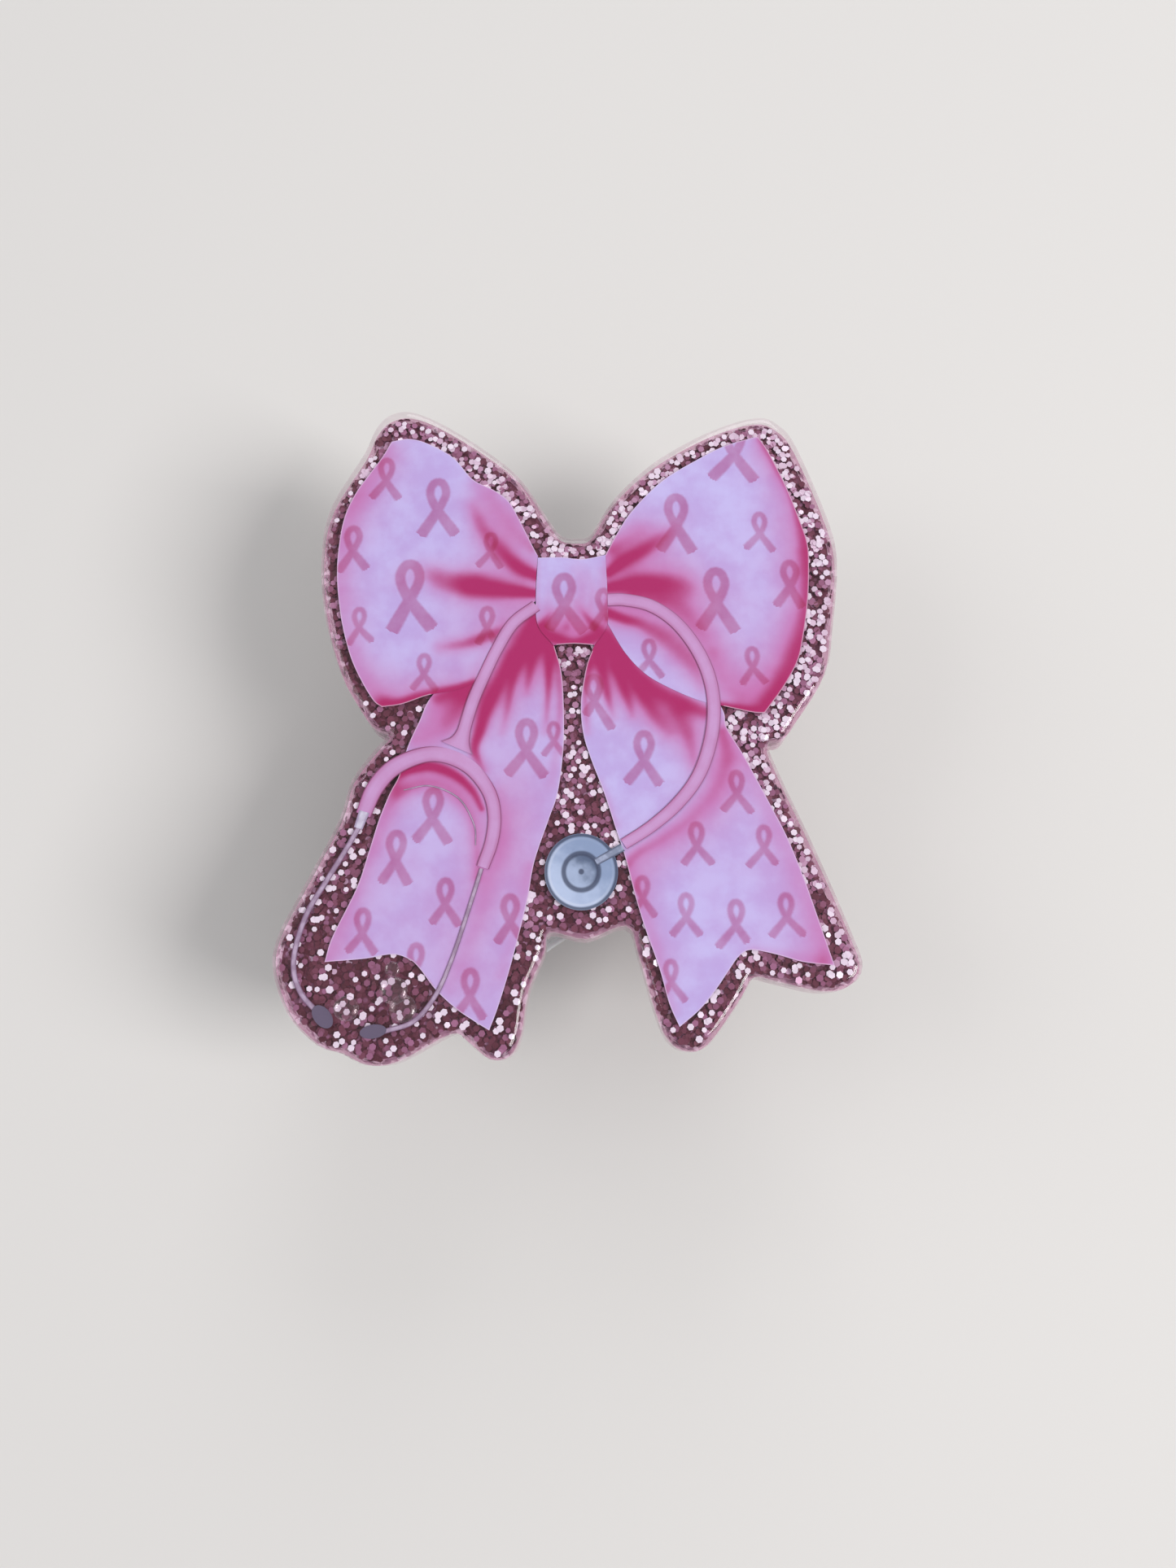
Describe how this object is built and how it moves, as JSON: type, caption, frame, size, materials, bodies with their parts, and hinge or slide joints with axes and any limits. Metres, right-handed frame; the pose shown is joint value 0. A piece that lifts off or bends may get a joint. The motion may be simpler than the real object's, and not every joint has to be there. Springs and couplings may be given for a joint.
{
  "type": "retractable badge reel",
  "caption": "Retractable badge reel with a bow-shaped glitter face, a spring-wound cord, a snap strap and a swivelling pocket clip.",
  "frame": {"origin": "on the reel's axis, on the plane that the closed clip's lever lies on", "axes": "+Z out of the decorated face; -Y the side that the cord leaves from; +X to the right of a viewer who looks at the face with the cord side down"},
  "size_m": [0.0534, 0.0648, 0.021],
  "materials": {
    "glitter_acrylic": "clear acrylic full of pink and white glitter flakes",
    "printed_film": "printed film in lavender and magenta",
    "clear_resin": "clear domed resin, polished",
    "foam_tape": "white foam tape",
    "case_plastic": "white moulded plastic, satin",
    "spool_plastic": "moulded plastic, matte",
    "nickel": "nickel plate, bright",
    "spring_steel": "spring steel, satin",
    "clip_steel": "nickel-plated sheet steel, satin",
    "cord": "braided nylon cord",
    "vinyl": "clear soft vinyl"
  },
  "bodies": {
    "case": {"topper_plate": "glitter_acrylic", "print_film": "printed_film", "resin_coat": "clear_resin", "adhesive_disc": "foam_tape", "front_case": "case_plastic", "back_case": "case_plastic", "exit_eyelet": "nickel", "cord_lead": "cord", "clip_rivet": "nickel"},
    "spool": {"spool": "spool_plastic", "mainspring": "spring_steel", "wound_cord": "cord"},
    "cord_end": {"cord_tail": "cord", "cord_end": "nickel", "strap_rivet": "nickel"},
    "strap": {"strap_leaf": "vinyl", "snap_stud": "nickel", "snap_post": "nickel"},
    "flap": {"strap_flap": "vinyl", "snap_socket": "nickel", "snap_cap": "nickel"},
    "clip": {"clip_base": "clip_steel", "clip_pin": "nickel", "clip_spring": "spring_steel", "swivel_washer": "spring_steel"},
    "lever": {"clip_lever": "clip_steel"}
  },
  "joints": [
    {"name": "cord_pull", "type": "slide", "parent": "case", "child": "cord_end", "axis": [0, -1, 0], "range_m": [0, 0.6], "stiffness_N_per_m": 1.3, "springref_m": -0.6},
    {"name": "spool_spin", "type": "hinge", "parent": "case", "child": "spool", "pos_m": [0, 0, 0.0118], "axis": [0, 0, -1], "range_deg": [0, 3075]},
    {"name": "strap_swing", "type": "hinge", "parent": "cord_end", "child": "strap", "pos_m": [0, -0.02015, 0.0118], "axis": [0, 0, 1], "range_deg": [0, 144]},
    {"name": "flap_open", "type": "hinge", "parent": "strap", "child": "flap", "pos_m": [-0.02311, -0.02766, 0.00955], "axis": [-0.309, 0.9511, 0], "range_deg": [0, 20]},
    {"name": "clip_swivel", "type": "hinge", "parent": "case", "child": "clip", "pos_m": [0, 0, 0.0066], "axis": [0, 0, 1], "continuous": true},
    {"name": "lever_press", "type": "hinge", "parent": "clip", "child": "lever", "pos_m": [0, 0.006, 0.0032], "axis": [1, 0, 0], "range_deg": [0, 22], "stiffness_Nm_per_rad": 0.07, "springref_deg": -60.16, "deforming": ["clip_spring"]}
  ],
  "couplings": [
    {"joint": "spool_spin", "follows": "cord_pull", "rad_per_m": 89.286}
  ]
}
